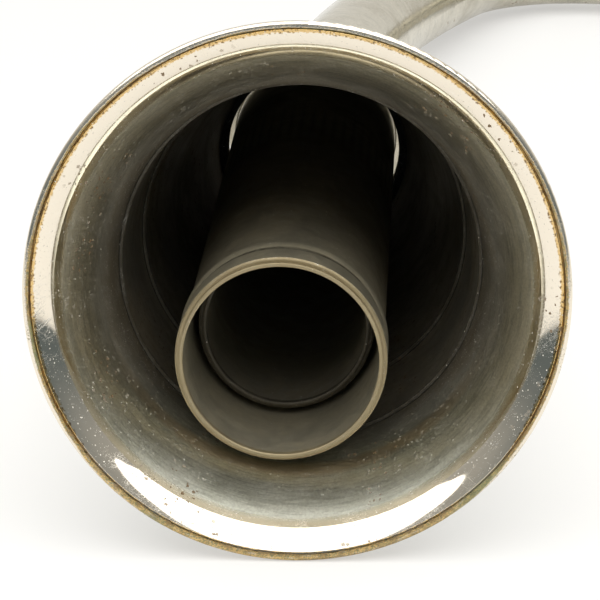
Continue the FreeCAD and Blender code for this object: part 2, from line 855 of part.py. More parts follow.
ORIGIN = centred()
for piece, frame in PIECES:
    piece.Placement = ORIGIN.multiply(frame)
doc.recompute()

for item in doc.Objects:
    if "Invalid" in item.State or "Error" in item.State:
        raise RuntimeError(f"{item.Label} failed: {item.State}")
for piece, _ in PIECES:
    if piece.Shape.isNull() or not piece.Shape.isValid() or len(piece.Shape.Solids) != 1:
        raise RuntimeError(f"{piece.Label} is not one sound solid")

os.makedirs("parts", exist_ok=True)
for piece, _ in PIECES:
    piece.Shape.exportStep(f"parts/{piece.Label}.step")
print(f"bell slopes {math.degrees(slope):.2f}, draw leans {math.degrees(LEAN):.2f}, "
      f"bend rolls {math.degrees(bend_roll):.2f} degrees")
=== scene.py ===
import json
import math

import bmesh
import bpy
from mathutils import Euler, Matrix, Vector


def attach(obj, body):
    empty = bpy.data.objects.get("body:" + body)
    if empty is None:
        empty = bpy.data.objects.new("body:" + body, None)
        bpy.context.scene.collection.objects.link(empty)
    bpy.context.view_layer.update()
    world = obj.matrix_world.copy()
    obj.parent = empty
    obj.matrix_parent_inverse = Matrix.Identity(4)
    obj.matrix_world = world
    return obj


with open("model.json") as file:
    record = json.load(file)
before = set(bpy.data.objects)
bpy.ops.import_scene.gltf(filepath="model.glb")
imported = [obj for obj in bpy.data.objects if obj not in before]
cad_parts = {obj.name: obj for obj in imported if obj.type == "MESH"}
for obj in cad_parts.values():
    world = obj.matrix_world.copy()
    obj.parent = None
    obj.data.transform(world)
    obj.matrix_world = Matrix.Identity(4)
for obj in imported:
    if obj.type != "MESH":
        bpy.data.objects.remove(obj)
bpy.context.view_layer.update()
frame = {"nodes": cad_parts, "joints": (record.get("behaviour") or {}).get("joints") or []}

# Millimetres make the sizes of a hand-made thing easy to read.
MM = 0.001

# The bell is turned about a line through the middle of its mouth. Its depth runs back along that line.
MOUTH_CENTRE = Vector((-0.033678, -0.151963, 0.039688))
BELL_SLOPE = math.radians(8.64)
BELL = (MOUTH_CENTRE, Euler((-math.pi / 2 - BELL_SLOPE, 0, 0)))

# The draws lean across the bell on a line of their own. The nest's depth is how far inside the middle draw's
# mouth the ear draw's begins.
joints = {joint["name"]: joint for joint in frame["joints"]}
DRAW_LINE = Vector(joints["middle_slide"]["axis"])
DRAW_TURN = DRAW_LINE.to_track_quat("Z", "Y").to_euler()
DRAW_MOUTH = Vector((-0.036298, -0.142938, 0.025851))
NEST_DEPTH = 17 * MM
MIDDLE_DRAW = (DRAW_MOUTH, DRAW_TURN)
EAR_DRAW = (DRAW_MOUTH + DRAW_LINE * NEST_DEPTH, DRAW_TURN)


# Shading steps and how they are laid out

STEP_WIDTH = 190
STEP_HEIGHT = 160
STEP_ROWS = 3


class Bench:
    """Lays out the shading steps of one material or group from left to right."""

    def __init__(self, tree):
        self.tree = tree
        self.placed = 0

    def lay(self, kind, inputs=None, **settings):
        step = self.tree.nodes.new(kind)
        step.location = (self.placed * STEP_WIDTH, -(self.placed % STEP_ROWS) * STEP_HEIGHT)
        self.placed += 1
        for name, value in settings.items():
            setattr(step, name, value)
        for socket, value in (inputs or {}).items():
            if isinstance(value, bpy.types.NodeSocket):
                self.tree.links.new(value, step.inputs[socket])
            else:
                step.inputs[socket].default_value = value
        return step

    def reckon(self, operation, first, second=0.0, clamp=False):
        return self.lay("ShaderNodeMath", {0: first, 1: second},
                        operation=operation, use_clamp=clamp).outputs[0]

    def chain(self, operation, first, others):
        for other in others:
            first = self.reckon(operation, first, other)
        return first

    def plus(self, first, *others):
        return self.chain("ADD", first, others)

    def less(self, first, *others):
        return self.chain("SUBTRACT", first, others)

    def times(self, first, *others):
        return self.chain("MULTIPLY", first, others)

    def most(self, first, *others):
        return self.chain("MAXIMUM", first, others)

    def length(self, across, along):
        """How long the slope is that goes this far across and this far along."""
        return self.reckon("SQRT", self.plus(self.times(across, across), self.times(along, along)))

    def fade(self, value, start, full, low=0.0, high=1.0):
        """Goes smoothly from low at start to high at full."""
        return self.lay("ShaderNodeMapRange",
                        {"Value": value, "From Min": start, "From Max": full, "To Min": low, "To Max": high},
                        interpolation_type="SMOOTHSTEP").outputs[0]

    def fall(self, value, start, end):
        """One up to start, and nothing from end on."""
        return self.fade(value, start, end, 1.0, 0.0)

    def band(self, value, start, end, soft):
        """One between start and end, and nothing outside, over a soft edge."""
        rise = self.fade(value, start - soft, start + soft)
        fall = self.fall(value, end - soft, end + soft)
        return self.times(rise, fall)

    def waver(self, cloud, reach):
        """A shift to either side of nothing that follows a cloudy value."""
        return self.times(self.less(cloud, 0.5), reach)

    def vector(self, operation, first, second):
        return self.lay("ShaderNodeVectorMath", {0: first, 1: second}, operation=operation).outputs[0]

    def scaled(self, point, factor):
        return self.lay("ShaderNodeVectorMath", {0: point, "Scale": factor}, operation="SCALE").outputs[0]

    def noise(self, point, scale, detail=3.0, roughness=0.5, distortion=0.0):
        return self.lay("ShaderNodeTexNoise",
                        {"Vector": point, "Scale": scale, "Detail": detail, "Roughness": roughness,
                         "Distortion": distortion}).outputs[0]

    def spots(self, point, spacing):
        """Scattered spots: how far off the nearest one is, and values that belong to that one alone."""
        cells = self.lay("ShaderNodeTexVoronoi", {"Vector": point, "Scale": spacing, "Randomness": 1.0},
                         feature="F1").outputs
        return cells["Distance"], self.lay("ShaderNodeSeparateColor", {0: cells["Color"]}).outputs

    def colours(self, factor, under, over):
        return self.lay("ShaderNodeMix", {0: factor, 6: under, 7: over}, data_type="RGBA").outputs[2]

    def place(self, group, inputs):
        return self.lay("ShaderNodeGroup", inputs, node_tree=group).outputs


def new_group(name, takes, gives):
    """Starts a shared effect. takes and gives list its sockets as (name, kind, value) and (name, kind)."""
    tree = bpy.data.node_groups.new(name, "ShaderNodeTree")
    for label, kind, value in takes:
        socket = tree.interface.new_socket(name=label, in_out="INPUT", socket_type="NodeSocket" + kind)
        if value is not None:
            socket.default_value = value
    for label, kind in gives:
        tree.interface.new_socket(name=label, in_out="OUTPUT", socket_type="NodeSocket" + kind)
    bench = Bench(tree)
    return bench, bench.lay("NodeGroupInput").outputs


def end_group(bench, results):
    """Wires a group's results to its outputs and gives the finished group."""
    bench.lay("NodeGroupOutput", results)
    return bench.tree


# Effects that several finishes share

def make_turned_place():
    """Depth along a turned piece, distance from its line, how far round to its low side, and a spun point."""
    bench, given = new_group(
        "turned_place",
        [("Point", "Vector", None), ("Along", "Float", 2000.0), ("Round", "Float", 1.5)],
        [("Depth", "Float"), ("Radius", "Float"), ("Down", "Float"), ("Spun", "Vector")])
    parts = bench.lay("ShaderNodeSeparateXYZ", {0: given["Point"]}).outputs
    radius = bench.length(parts[0], parts[1])
    # On the line itself the way round has no direction, so the division stops short of it.
    off_the_line = bench.most(radius, 0.1 * MM)
    side = bench.reckon("DIVIDE", parts[0], off_the_line)
    down = bench.reckon("DIVIDE", parts[1], off_the_line)
    spun = bench.lay("ShaderNodeCombineXYZ",
                     {0: bench.times(side, given["Round"]), 1: bench.times(down, given["Round"]),
                      2: bench.times(bench.plus(parts[2], radius), given["Along"])}).outputs[0]
    return end_group(bench, {"Depth": parts[2], "Radius": radius, "Down": down, "Spun": spun})


def make_hairlines():
    """Fine scratches in four directions, left by handling and polishing cloths."""
    bench, given = new_group(
        "hairlines",
        [("Point", "Vector", None), ("Fineness", "Float", 1.0), ("Amount", "Float", 0.5)],
        [("Mask", "Float")])
    streaks = []
    for turn, stretch, width in (((0.3, 0.9, 0.2), (24, 1500, 1500), 0.007),
                                 ((1.9, 0.4, 1.1), (1700, 30, 1700), 0.007),
                                 ((0.8, 2.2, 2.9), (1300, 1300, 22), 0.006),
                                 ((2.6, 1.3, 0.5), (28, 1900, 1900), 0.008)):
        turned = bench.lay("ShaderNodeMapping", {"Vector": given["Point"], "Rotation": turn}).outputs[0]
        stretched = bench.scaled(bench.vector("MULTIPLY", turned, stretch), given["Fineness"])
        off_the_scratch = bench.reckon("ABSOLUTE", bench.less(bench.noise(stretched, 1.0, 0.0), 0.5))
        streaks.append(bench.fall(off_the_scratch, 0.0, width))
    patches = bench.fade(bench.noise(given["Point"], 260.0, 2.0), 0.40, 0.62)
    mask = bench.reckon("MULTIPLY", bench.times(bench.most(*streaks), patches), given["Amount"], clamp=True)
    return end_group(bench, {"Mask": mask})


def make_dust():
    """Pale specks of dust, each alone, in two sizes."""
    bench, given = new_group(
        "dust",
        [("Point", "Vector", None), ("Spacing", "Float", 900.0), ("Share", "Float", 0.2), ("Size", "Float", 0.14)],
        [("Mask", "Float")])
    layers = []
    for finer, more in ((1.0, 1.0), (2.3, 1.15)):
        distance, own = bench.spots(given["Point"], bench.times(given["Spacing"], finer))
        kept = bench.reckon("LESS_THAN", own[0], bench.times(given["Share"], more))
        speck = bench.fall(distance, bench.times(given["Size"], 0.6), given["Size"])
        layers.append(bench.times(speck, kept))
    return end_group(bench, {"Mask": bench.most(*layers)})


def make_pits():
    """Ragged spots where the plate has lifted and the brass below has browned."""
    bench, given = new_group(
        "pits",
        [("Point", "Vector", None), ("Spacing", "Float", 420.0), ("Share", "Float", 0.3), ("Size", "Float", 0.3)],
        [("Mask", "Float")])
    ragged = bench.lay("ShaderNodeTexNoise", {"Vector": given["Point"], "Scale": 3200.0, "Detail": 3.0}).outputs[1]
    push = bench.scaled(bench.vector("SUBTRACT", ragged, (0.5, 0.5, 0.5)), 0.7 * MM)
    distance, own = bench.spots(bench.vector("ADD", given["Point"], push), given["Spacing"])
    kept = bench.reckon("LESS_THAN", own[0], given["Share"])
    own_size = bench.times(given["Size"], bench.plus(bench.times(own[1], 0.9), 0.3))
    inside = bench.reckon("LESS_THAN", distance, own_size)
    return end_group(bench, {"Mask": bench.times(inside, kept)})


def make_mottle():
    """Cloudy unevenness at three sizes, as tarnish and old lacquer leave."""
    bench, given = new_group(
        "mottle",
        [("Point", "Vector", None), ("Scale", "Float", 60.0)],
        [("Cloud", "Float"), ("Grain", "Float")])
    broad = bench.noise(given["Point"], given["Scale"], 4.0, 0.55, 0.6)
    middle = bench.noise(given["Point"], bench.times(given["Scale"], 6.0), 4.0, 0.6, 0.3)
    grain = bench.noise(given["Point"], bench.times(given["Scale"], 45.0), 3.0, 0.6)
    cloud = bench.plus(bench.times(broad, 0.65), bench.times(middle, 0.35))
    return end_group(bench, {"Cloud": cloud, "Grain": grain})


turned_place = make_turned_place()
hairlines = make_hairlines()
dust = make_dust()
pits = make_pits()
mottle = make_mottle()


# Colours of plate, brass and what has settled on them, and of painted shade and painted reflections

LIP_SILVER = (0.82, 0.75, 0.63, 1)
SILVER = (0.80, 0.765, 0.65, 1)
# Cool, pale silver for the low side of the lip and flare: a painted reflection.
REFLECTED_COOL_SILVER = (0.90, 0.93, 0.85, 1)
GREY_TARNISH = (0.48, 0.44, 0.35, 1)
BROWN_TARNISH = (0.29, 0.24, 0.155, 1)
# Very dark brown far inside the flare: tarnish, with painted shade of the throat in it.
TARNISH_AND_THROAT_SHADE = (0.11, 0.092, 0.062, 1)
BRUSHED_SHADE = (0.30, 0.31, 0.26, 1)
DARK_SPECKLE = (0.20, 0.18, 0.13, 1)
# A pale warm colour for a curved band on the flare's low side: a painted reflection.
REFLECTED_ARC_COLOUR = (0.80, 0.66, 0.46, 1)
SCRATCHED_SILVER = (0.92, 0.91, 0.88, 1)

OLD_BRASS = (0.70, 0.49, 0.21, 1)
BROWNED_BRASS = (0.20, 0.13, 0.065, 1)
OLIVE_BRASS = (0.30, 0.27, 0.14, 1)
VERDIGRIS = (0.16, 0.22, 0.12, 1)

DRAW_METAL = (0.66, 0.61, 0.46, 1)
DRAW_TARNISH = (0.38, 0.33, 0.22, 1)
DRAW_EDGE = (0.34, 0.27, 0.15, 1)
# The ear draw's colours are the middle draw's at under half the brightness, its edge near black: painted shade on
# the draw nested inside.
SHADED_INNER_METAL = (0.30, 0.28, 0.22, 1)
SHADED_INNER_TARNISH = (0.17, 0.15, 0.11, 1)
SHADED_INNER_EDGE = (0.045, 0.038, 0.027, 1)
WIPED_SHADE = (0.24, 0.22, 0.17, 1)
SCRATCHED_DRAW = (0.72, 0.69, 0.58, 1)

# Near-black painted shade inside the bore of the collar.
BORE_SHADE = (0.028, 0.024, 0.018, 1)
EDGE_DIRT = (0.04, 0.034, 0.025, 1)
DRAW_GRIME = (0.055, 0.042, 0.027, 1)
DUST_COLOUR = (0.78, 0.74, 0.64, 1)

# Depths from the mouth and radii from the bell's line, as (start, end), where the bell's finish changes

LIP_DEPTH = 2.7 * MM
BRUSHED_DEPTHS = (3.1 * MM, 4.4 * MM)
# Where a painted reflection lies as a curved band on the flare's low side
REFLECTED_ARC_DEPTHS = (12.4 * MM, 15.4 * MM)
# Where tarnish and painted throat shade come in far inside the flare
TARNISH_AND_SHADE_DEPTHS = (8 * MM, 21 * MM)
NECK_EDGE_DEPTHS = (25.3 * MM, 26.3 * MM)
CONE_EDGE_DEPTHS = (50.4 * MM, 51.4 * MM)
LAP_DIRT_RADII = (27.75 * MM, 27.85 * MM)
GOLD_EDGE_RADII = (38.20 * MM, 38.42 * MM)
RIM_BRASS_RADII = (39.00 * MM, 39.18 * MM)
RIM_DARK_RADII = (39.05 * MM, 39.55 * MM)
GLAND_BORE = 17.75 * MM

# The curve of the flare: the radius and depth of its centre, and its own radius in the middle of the sheet
FLARE_CENTRE_RADIUS = 65.1 * MM
FLARE_CENTRE_DEPTH = 25.4 * MM
FLARE_CURVE = 37.0 * MM

# The middle of the neck's and the cone's sheet: its radius, the depth where it has it, and its fall with depth
NECK_WALL = (27.5 * MM, 25.4 * MM, 0.05)
CONE_WALL = (25.6 * MM, 54.5 * MM, 0.111)

# The same for the draws, from a draw's own mouth and line
DRAW_EDGE_DEPTHS = (1.0 * MM, 1.4 * MM)
DRAW_GROOVE_DEPTHS = (5.9 * MM, 8.0 * MM)
DRAW_AGED_DEPTHS = (7 * MM, 42 * MM)
DRAW_OUTSIDE_RADII = (14.9 * MM, 15.0 * MM)


# Finishes

def new_finish(name):
    """A material with an empty bench, and the piece's own coordinates."""
    material = bpy.data.materials.new(name)
    material.use_nodes = True
    tree = material.node_tree
    tree.nodes.clear()
    bench = Bench(tree)
    own = bench.lay("ShaderNodeTexCoord").outputs["Object"]
    return material, bench, own


def on_line(bench, own, line):
    """The piece's own point seen from a turned line: depth along Z, zero at the line's start."""
    return bench.lay("ShaderNodeMapping", {"Vector": own, "Location": line[0], "Rotation": line[1]},
                     vector_type="TEXTURE").outputs[0]


def surface(bench, colour, roughness, metallic, height, bump, **fixed):
    """The one surface shader of a finish, wired to the output. bump is its strength and its height in metres."""
    strength, distance = bump
    relief = bench.lay("ShaderNodeBump", {"Height": height, "Strength": strength, "Distance": distance}).outputs[0]
    inputs = {"Base Color": colour, "Roughness": roughness, "Metallic": metallic, "Normal": relief}
    inputs.update(fixed)
    shader = bench.lay("ShaderNodeBsdfPrincipled", inputs)
    bench.lay("ShaderNodeOutputMaterial", {"Surface": shader.outputs[0]})


def inner_side(bench, place, wall):
    """One on the side of a wall that faces the sound."""
    radius, depth, fall = wall
    drop = bench.times(bench.less(place["Depth"], depth), fall)
    middle = bench.less(radius, bench.most(drop, 0.0))
    return bench.reckon("LESS_THAN", place["Radius"], middle)


def inner_flare(bench, place):
    """One on the inside of the flare and all over the lip."""
    across = bench.less(place["Radius"], FLARE_CENTRE_RADIUS)
    along = bench.less(place["Depth"], FLARE_CENTRE_DEPTH)
    inside = bench.reckon("GREATER_THAN", bench.length(across, along), FLARE_CURVE)
    return bench.most(inside, bench.reckon("LESS_THAN", place["Depth"], LIP_DEPTH))


def bell_finish(name, browns, shine, pit_share, scratch, dust_share, lip=False, bore=None, wall=None):
    """Silver plate of the bell: bright at the lip, brushed behind it, then brown, scratched and dusty.

    browns gives the depths at which the brown starts and is full. lip adds the worn edge, the flare's tarnish with
    painted throat shade, and painted light and painted reflections on the low side, bore paints shade inside a
    bore of that radius, and wall keeps the brown on the inner side of that sheet.
    """
    material, bench, own = new_finish(name)
    point = on_line(bench, own, BELL)
    place = bench.place(turned_place, {"Point": point, "Along": 4200.0, "Round": 4.5})
    cloud = bench.place(mottle, {"Point": own, "Scale": 55.0})
    lines = bench.place(hairlines, {"Point": own, "Fineness": 1.0, "Amount": scratch})["Mask"]
    specks = bench.place(dust, {"Point": own, "Spacing": 1500.0, "Share": dust_share, "Size": 0.17})["Mask"]
    spots = bench.place(pits, {"Point": own, "Spacing": 1300.0, "Share": pit_share, "Size": 0.36})["Mask"]
    pitted = bench.times(spots, bench.fade(bench.noise(own, 60.0, 2.0), 0.52, 0.64))
    spun = bench.noise(place["Spun"], 1.0, 4.0, 0.65)

    wander = bench.waver(cloud["Cloud"], 7 * MM)
    depth = bench.plus(place["Depth"], wander)
    if lip:
        low_side = bench.fade(place["Down"], 0.2, 0.9)
        # On the low side the brown and its darkening start further back, which keeps the lower wall lighter:
        # painted light.
        depth = bench.less(depth, bench.times(low_side, 6 * MM))
    patchy = bench.fade(cloud["Cloud"], 0.40, 0.66)
    brown = bench.times(bench.fade(depth, *browns), bench.plus(bench.times(patchy, 0.45), 0.55))
    if lip:
        inner = inner_flare(bench, place)
        brown = bench.times(brown, inner)
    if wall:
        brown = bench.times(brown, inner_side(bench, place, wall))
    brushed = bench.fade(place["Depth"], *BRUSHED_DEPTHS)
    ridge = bench.fade(spun, 0.45, 0.62)
    speckle = bench.fade(cloud["Grain"], 0.36, 0.66)

    # The plate turns cool and pale on the low side: a painted reflection.
    plate = bench.colours(low_side, SILVER, REFLECTED_COOL_SILVER) if lip else SILVER
    colour = bench.colours(brushed, LIP_SILVER, plate)
    colour = bench.colours(bench.times(patchy, brushed, 0.34), colour, GREY_TARNISH)
    colour = bench.colours(brown, colour, BROWN_TARNISH)
    colour = bench.colours(bench.times(ridge, brushed, 0.36), colour, BRUSHED_SHADE)
    colour = bench.colours(bench.times(speckle, brushed, 0.22), colour, DARK_SPECKLE)
    if lip:
        frayed = bench.waver(cloud["Grain"], 1.1 * MM)
        silvered = bench.times(bench.fade(place["Down"], 0.40, 0.80), 0.9 * MM)
        gold = bench.fade(bench.less(bench.plus(place["Radius"], frayed), silvered), *GOLD_EDGE_RADII)
        old = bench.colours(bench.fade(cloud["Grain"], 0.52, 0.64), OLD_BRASS, BROWNED_BRASS)
        colour = bench.colours(gold, colour, old)
        # Far inside the flare the brown grows darker: tarnish, and painted shade of the throat.
        tarnish_and_shade = bench.times(bench.fade(depth, *TARNISH_AND_SHADE_DEPTHS), inner)
        colour = bench.colours(bench.times(tarnish_and_shade, 0.80), colour, TARNISH_AND_THROAT_SHADE)
        # A pale warm curved band on the low side of the flare: a painted reflection.
        reflected_arc = bench.band(bench.plus(place["Depth"], bench.times(wander, 0.3)), *REFLECTED_ARC_DEPTHS, 0.9 * MM)
        colour = bench.colours(bench.times(reflected_arc, low_side, inner, 0.7), colour, REFLECTED_ARC_COLOUR)
    # Inside the bore the plate is painted near black: painted shade.
    if bore:
        inside = bench.fall(place["Radius"], bore - 0.2 * MM, bore)
        colour = bench.colours(inside, colour, BORE_SHADE)
    if not lip:
        edges = bench.most(bench.band(place["Depth"], *NECK_EDGE_DEPTHS, 0.1 * MM),
                           bench.band(place["Depth"], *CONE_EDGE_DEPTHS, 0.1 * MM))
        dirty = bench.times(edges, bench.fall(place["Radius"], *LAP_DIRT_RADII))
        colour = bench.colours(bench.times(dirty, 0.8), colour, EDGE_DIRT)
    colour = bench.colours(bench.times(lines, 0.6), colour, SCRATCHED_SILVER)
    colour = bench.colours(pitted, colour, BROWNED_BRASS)
    colour = bench.colours(specks, colour, DUST_COLOUR)

    rough = bench.plus(bench.times(patchy, brushed, 0.08), shine)
    if lip:
        rough = bench.plus(rough, bench.times(brushed, 0.24), bench.times(tarnish_and_shade, 0.15))
    else:
        rough = bench.plus(rough, bench.times(dirty, 0.4))
    rough = bench.plus(rough, bench.times(brown, 0.16), bench.times(lines, 0.25))
    rough = bench.reckon("ADD", rough, bench.times(bench.most(pitted, specks), 0.5), clamp=True)
    dull = bench.most(bench.times(pitted, 0.7), bench.times(brown, 0.30))
    if bore:
        rough = bench.most(rough, bench.times(inside, 0.6))
        dull = bench.most(dull, bench.times(inside, 0.9))
    metal = bench.less(1.0, bench.most(specks, dull))

    height = bench.plus(bench.times(spun, brushed, 0.5), bench.times(cloud["Grain"], brushed, 0.25))
    height = bench.less(height, bench.times(lines, 0.5))
    height = bench.plus(height, bench.times(specks, 2.0))
    height = bench.less(height, bench.times(pitted, 1.5))
    surface(bench, colour, rough, metal, height, (0.35, 0.02 * MM))
    return material


def rim_finish():
    """The rim: silver left on its crown, brass showing by the crevice and all over its low side."""
    material, bench, own = new_finish("worn_rim_plate")
    point = on_line(bench, own, BELL)
    place = bench.place(turned_place, {"Point": point, "Along": 3500.0, "Round": 14.0})
    cloud = bench.place(mottle, {"Point": own, "Scale": 90.0})
    lines = bench.place(hairlines, {"Point": own, "Fineness": 1.2, "Amount": 0.7})["Mask"]

    ragged = bench.plus(bench.waver(cloud["Cloud"], 0.9 * MM), bench.waver(cloud["Grain"], 0.5 * MM))
    low_side = bench.times(bench.fade(place["Down"], 0.45, 0.92), 0.65 * MM)
    flank = bench.times(bench.fade(place["Down"], -0.95, -0.3), 0.32 * MM)
    edge = bench.less(bench.plus(place["Radius"], ragged), bench.plus(low_side, flank))
    inner = bench.fall(edge, *RIM_BRASS_RADII)
    bits = bench.times(bench.fade(cloud["Grain"], 0.54, 0.64), bench.fade(cloud["Cloud"], 0.54, 0.62))
    worn = bench.most(inner, bits)
    green = bench.times(bench.fade(bench.noise(own, 45.0, 1.0), 0.60, 0.66), inner)
    silver_left = bench.times(bench.fade(bench.noise(place["Spun"], 1.0, 4.0, 0.7), 0.54, 0.64), 0.5)
    shade = bench.fade(place["Radius"], *RIM_DARK_RADII, 1.0, 0.35)
    dark = bench.times(bench.fade(bench.noise(own, 900.0, 3.0), 0.44, 0.58), worn, shade)

    colour = bench.colours(bench.fade(cloud["Grain"], 0.42, 0.60), OLD_BRASS, OLIVE_BRASS)
    colour = bench.colours(silver_left, colour, LIP_SILVER)
    colour = bench.colours(worn, LIP_SILVER, colour)
    colour = bench.colours(bench.times(dark, 0.7), colour, BROWNED_BRASS)
    colour = bench.colours(bench.times(green, 0.6), colour, VERDIGRIS)
    settled = bench.most(dark, green)
    rough = bench.plus(bench.times(worn, 0.22), 0.14)
    rough = bench.reckon("ADD", rough, bench.times(settled, 0.35), clamp=True)
    metal = bench.less(1.0, bench.times(settled, 0.6))
    height = bench.less(cloud["Grain"], bench.plus(bench.times(lines, 0.5), worn))
    surface(bench, colour, rough, metal, height, (0.4, 0.03 * MM))
    return material


def tube_finish(name, line, plate, tarnish, edge_tint, shine, dullness):
    """Thin plate of a draw: a dressed edge at its mouth, a wiped outside with old dirt, and a dull bore."""
    material, bench, own = new_finish(name)
    point = on_line(bench, own, line)
    place = bench.place(turned_place, {"Point": point, "Along": 260.0, "Round": 14.0})
    cloud = bench.place(mottle, {"Point": own, "Scale": 70.0})
    lines = bench.place(hairlines, {"Point": own, "Fineness": 0.9, "Amount": 0.8})["Mask"]
    specks = bench.place(dust, {"Point": own, "Spacing": 1100.0, "Share": 0.10, "Size": 0.14})["Mask"]
    wiped = bench.noise(place["Spun"], 1.0, 4.0, 0.6)
    patchy = bench.fade(cloud["Cloud"], 0.38, 0.64)

    frayed = bench.waver(cloud["Grain"], 0.8 * MM)
    mouth = bench.fall(bench.plus(place["Depth"], frayed), *DRAW_EDGE_DEPTHS)
    groove = bench.band(bench.plus(place["Depth"], bench.times(frayed, 1.5)), *DRAW_GROOVE_DEPTHS, 0.4 * MM)
    groove = bench.times(groove, bench.fade(cloud["Cloud"], 0.30, 0.52), 0.85)
    aged = bench.times(bench.fade(place["Depth"], *DRAW_AGED_DEPTHS), 0.75)
    outside = bench.fade(place["Radius"], *DRAW_OUTSIDE_RADII)
    grimy = bench.times(bench.most(groove, aged), outside)

    colour = bench.colours(bench.times(patchy, 0.75), plate, tarnish)
    colour = bench.colours(bench.times(wiped, 0.3), colour, WIPED_SHADE)
    colour = bench.colours(bench.times(mouth, 0.85), colour, edge_tint)
    colour = bench.colours(grimy, colour, DRAW_GRIME)
    colour = bench.colours(bench.times(lines, 0.4), colour, SCRATCHED_DRAW)
    colour = bench.colours(specks, colour, DUST_COLOUR)
    rough = bench.plus(bench.times(patchy, 0.14), shine, bench.times(bench.most(mouth, grimy), 0.14))
    rough = bench.reckon("ADD", rough, bench.times(bench.most(lines, specks), 0.3), clamp=True)
    dull = bench.times(bench.plus(bench.times(patchy, 0.5), 0.5), dullness)
    metal = bench.less(1.0, bench.most(specks, dull))
    height = bench.plus(bench.times(wiped, 0.4), bench.times(cloud["Grain"], 0.4))
    height = bench.less(height, bench.times(lines, 0.5))
    height = bench.plus(height, bench.times(specks, 1.5))
    surface(bench, colour, rough, metal, height, (0.4, 0.02 * MM))
    return material


def leather_finish():
    """Oiled leather of the packing, with creases across its grain."""
    material, bench, own = new_finish("packing_leather_oiled")
    cloud = bench.place(mottle, {"Point": own, "Scale": 160.0})
    cells = bench.lay("ShaderNodeTexVoronoi", {"Vector": own, "Scale": 1600.0}, feature="DISTANCE_TO_EDGE")
    crease = bench.fade(cells.outputs[0], 0.0, 0.12)
    colour = bench.colours(cloud["Cloud"], (0.10, 0.055, 0.03, 1), (0.27, 0.16, 0.09, 1))
    colour = bench.colours(crease, (0.05, 0.03, 0.02, 1), colour)
    rough = bench.plus(bench.times(cloud["Grain"], 0.3), 0.45)
    surface(bench, colour, rough, 0.0, crease, (0.6, 0.08 * MM))
    return material


def cloth_finish():
    """Worn baize that lines the sliding collar, with its nap pressed along the draw."""
    material, bench, own = new_finish("baize_lining")
    nap = bench.noise(bench.vector("MULTIPLY", own, (2600, 500, 2600)), 1.0, 4.0, 0.7)
    cloud = bench.place(mottle, {"Point": own, "Scale": 120.0})
    colour = bench.colours(nap, (0.035, 0.06, 0.035, 1), (0.13, 0.19, 0.12, 1))
    colour = bench.colours(bench.times(cloud["Cloud"], 0.4), colour, (0.16, 0.14, 0.10, 1))
    rough = bench.plus(bench.times(nap, 0.1), 0.85)
    surface(bench, colour, rough, 0.0, nap, (0.8, 0.15 * MM), **{"Sheen Weight": 0.4, "Sheen Roughness": 0.5})
    return material


def bone_finish():
    """Turned bone: cream, with yellowed clouds and short brown canals."""
    material, bench, own = new_finish("turned_bone")
    cloud = bench.place(mottle, {"Point": own, "Scale": 130.0})
    canals = bench.fade(bench.noise(bench.vector("MULTIPLY", own, (450, 4200, 4200)), 1.0, 2.0), 0.62, 0.72)
    lines = bench.place(hairlines, {"Point": own, "Fineness": 1.4, "Amount": 0.4})["Mask"]
    colour = bench.colours(cloud["Cloud"], (0.74, 0.62, 0.42, 1), (0.86, 0.80, 0.66, 1))
    colour = bench.colours(bench.times(canals, 0.55), colour, (0.36, 0.22, 0.11, 1))
    rough = bench.plus(bench.times(cloud["Grain"], 0.2), 0.24)
    rough = bench.reckon("ADD", rough, bench.times(lines, 0.2), clamp=True)
    height = bench.less(bench.times(cloud["Grain"], 0.3),
                        bench.plus(bench.times(canals, 0.6), bench.times(lines, 0.4)))
    surface(bench, colour, rough, 0.0, height, (0.4, 0.05 * MM),
            **{"Subsurface Weight": 0.12, "Subsurface Scale": 2 * MM})
    return material


def grime_finish():
    """Brown polish and green corrosion packed in the crevice of the rim, with a painted grey reflection on its low
    side.
    """
    material, bench, own = new_finish("crevice_grime")
    point = on_line(bench, own, BELL)
    place = bench.place(turned_place, {"Point": point})
    cloud = bench.place(mottle, {"Point": own, "Scale": 140.0})
    green = bench.fade(bench.noise(own, 34.0, 1.0), 0.58, 0.68)
    colour = bench.colours(bench.fade(cloud["Cloud"], 0.35, 0.65), (0.10, 0.06, 0.025, 1), (0.42, 0.27, 0.10, 1))
    colour = bench.colours(bench.times(green, 0.7), colour, VERDIGRIS)
    # The grime turns grey on the low side: a painted reflection.
    colour = bench.colours(bench.fade(place["Down"], 0.45, 0.85), colour, (0.20, 0.205, 0.19, 1))
    rough = bench.plus(bench.times(cloud["Grain"], 0.3), 0.5)
    surface(bench, colour, rough, 0.35, cloud["Grain"], (0.7, 0.08 * MM))
    return material


# The lip browns inside the flare. Neck and cone are brown from their start, and the outer pieces hardly at all.
FLARE_BROWNS = (8 * MM, 20 * MM)
THROAT_BROWNS = (-20 * MM, 10 * MM)
OUTSIDE_BROWNS = (10 * MM, 190 * MM)
BEND_BROWNS = (60 * MM, 520 * MM)

lip_plate = bell_finish("lip_plate", FLARE_BROWNS, 0.06, 0.4, 0.55, 0.42, lip=True)
throat_plate = bell_finish("throat_plate", THROAT_BROWNS, 0.20, 0.35, 0.6, 0.12, wall=NECK_WALL)
cone_plate = bell_finish("cone_plate", THROAT_BROWNS, 0.20, 0.35, 0.6, 0.12, wall=CONE_WALL)
gland_plate = bell_finish("gland_plate", OUTSIDE_BROWNS, 0.14, 0.2, 0.6, 0.05, bore=GLAND_BORE)
outer_plate = bell_finish("collar_plate", OUTSIDE_BROWNS, 0.14, 0.2, 0.6, 0.05)
bend_plate = bell_finish("bend_plate", BEND_BROWNS, 0.12, 0.2, 0.5, 0.04)
draw_plate = tube_finish("draw_plate", MIDDLE_DRAW, DRAW_METAL, DRAW_TARNISH, DRAW_EDGE, 0.28, 0.45)
